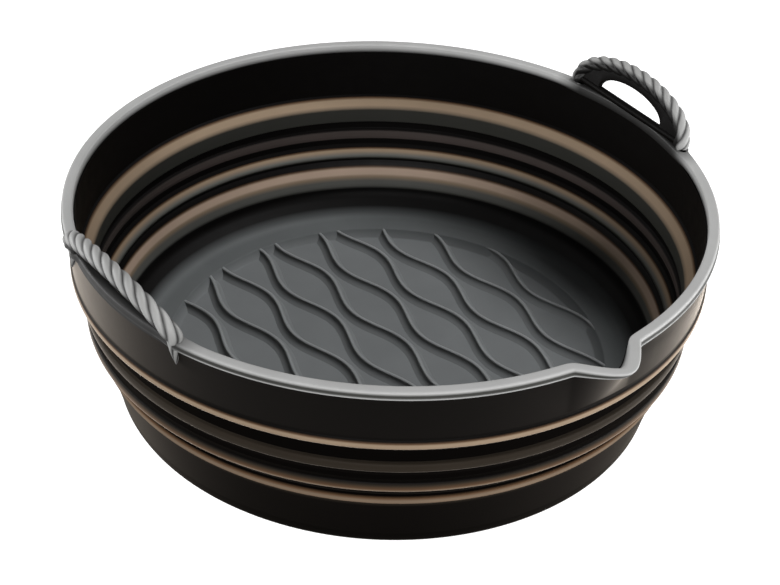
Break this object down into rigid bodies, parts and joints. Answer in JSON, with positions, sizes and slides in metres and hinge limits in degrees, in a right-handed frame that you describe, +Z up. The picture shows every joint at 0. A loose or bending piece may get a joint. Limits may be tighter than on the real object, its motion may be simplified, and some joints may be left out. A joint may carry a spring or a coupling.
{
  "type": "silicone air fryer liner",
  "caption": "Round collapsible silicone basket liner with a pleated wall, wavy floor ribs, a pouring spout and rope-pattern loop handles.",
  "frame": {"origin": "centre of the flat underside, on the surface that the liner stands on", "axes": "+Z up along the bowl's axis, +X towards the right handle, -Y towards the pouring spout"},
  "size_m": [0.2113, 0.2151, 0.0849],
  "materials": {
    "base_silicone": "matte moulded silicone",
    "rib_silicone": "matte moulded silicone",
    "pleat_silicone": "matte moulded silicone",
    "ring_silicone": "satin moulded silicone",
    "wall_silicone": "satin moulded silicone",
    "rim_silicone": "matte moulded silicone",
    "rope_silicone": "matte moulded silicone",
    "web_silicone": "matte moulded silicone"
  },
  "bodies": {
    "base": {"base_cup": "base_silicone", "wave_rib_01": "rib_silicone", "wave_rib_02": "rib_silicone", "wave_rib_03": "rib_silicone", "wave_rib_04": "rib_silicone", "wave_rib_05": "rib_silicone", "wave_rib_06": "rib_silicone", "wave_rib_07": "rib_silicone", "wave_rib_08": "rib_silicone", "wave_rib_09": "rib_silicone", "wave_rib_10": "rib_silicone", "wave_rib_11": "rib_silicone", "wave_rib_12": "rib_silicone", "pleat_lower": "pleat_silicone"},
    "ring": {"fold_ring": "ring_silicone", "pleat_middle": "pleat_silicone", "fold_band": "ring_silicone", "pleat_upper": "pleat_silicone"},
    "upper": {"upper_wall": "wall_silicone", "rim_lip": "rim_silicone"},
    "left_handle": {"left_handle_rope": "rope_silicone", "left_handle_web_front": "web_silicone", "left_handle_web_back": "web_silicone"},
    "right_handle": {"right_handle_rope": "rope_silicone", "right_handle_web_front": "web_silicone", "right_handle_web_back": "web_silicone"}
  },
  "joints": [
    {"name": "ring_collapse", "type": "slide", "parent": "base", "child": "ring", "axis": [0, 0, 1], "range_m": [-0.012, 0], "deforming": ["pleat_lower"]},
    {"name": "wall_collapse", "type": "slide", "parent": "ring", "child": "upper", "axis": [0, 0, 1], "range_m": [-0.024, 0], "deforming": ["pleat_middle", "fold_band", "pleat_upper"]},
    {"name": "left_handle_bend", "type": "hinge", "parent": "upper", "child": "left_handle", "pos_m": [-0.09821, -0.00446, 0.06943], "axis": [-0.0454, 0.999, 0], "range_deg": [-64, 31], "stiffness_Nm_per_rad": 0.05},
    {"name": "right_handle_bend", "type": "hinge", "parent": "upper", "child": "right_handle", "pos_m": [0.09821, -0.00446, 0.06943], "axis": [-0.0454, -0.999, 0], "range_deg": [-75, 20], "stiffness_Nm_per_rad": 0.05}
  ]
}
